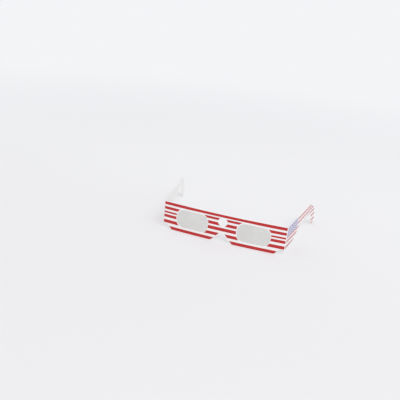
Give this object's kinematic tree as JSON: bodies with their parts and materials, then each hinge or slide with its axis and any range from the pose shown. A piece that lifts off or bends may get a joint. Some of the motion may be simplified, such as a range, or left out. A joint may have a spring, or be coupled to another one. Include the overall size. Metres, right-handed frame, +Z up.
{
  "type": "eclipse glasses",
  "caption": "Folding paper eclipse glasses: striped card front with film windows and a nose notch, and two creased temples with ear hooks.",
  "frame": {"origin": "on the floor, in the middle of the open glasses' bounding box", "axes": "+X to the right of someone who looks at the printed face, +Y back from the front to the ear hooks, +Z up"},
  "size_m": [0.1836, 0.1206, 0.0342],
  "materials": {
    "printed_card": "semi-gloss",
    "plain_card": "matte",
    "solar_film": "gloss",
    "glue": "matte"
  },
  "bodies": {
    "front": {"front_panel": "printed_card", "back_panel": "plain_card", "top_fold": "plain_card", "glue_layer": "glue", "left_filter": "solar_film", "right_filter": "solar_film", "left_crease": "printed_card", "right_crease": "printed_card"},
    "left_temple": {"left_temple": "printed_card"},
    "right_temple": {"right_temple": "printed_card"}
  },
  "joints": [
    {"name": "left_fold", "type": "hinge", "parent": "front", "child": "left_temple", "pos_m": [-0.0725, -0.05911, 0.0205], "axis": [0, 0, -1], "range_deg": [-80.9, 97.1]},
    {"name": "right_fold", "type": "hinge", "parent": "front", "child": "right_temple", "pos_m": [0.0725, -0.05911, 0.0205], "axis": [0, 0, 1], "range_deg": [-80.9, 99.1]}
  ]
}
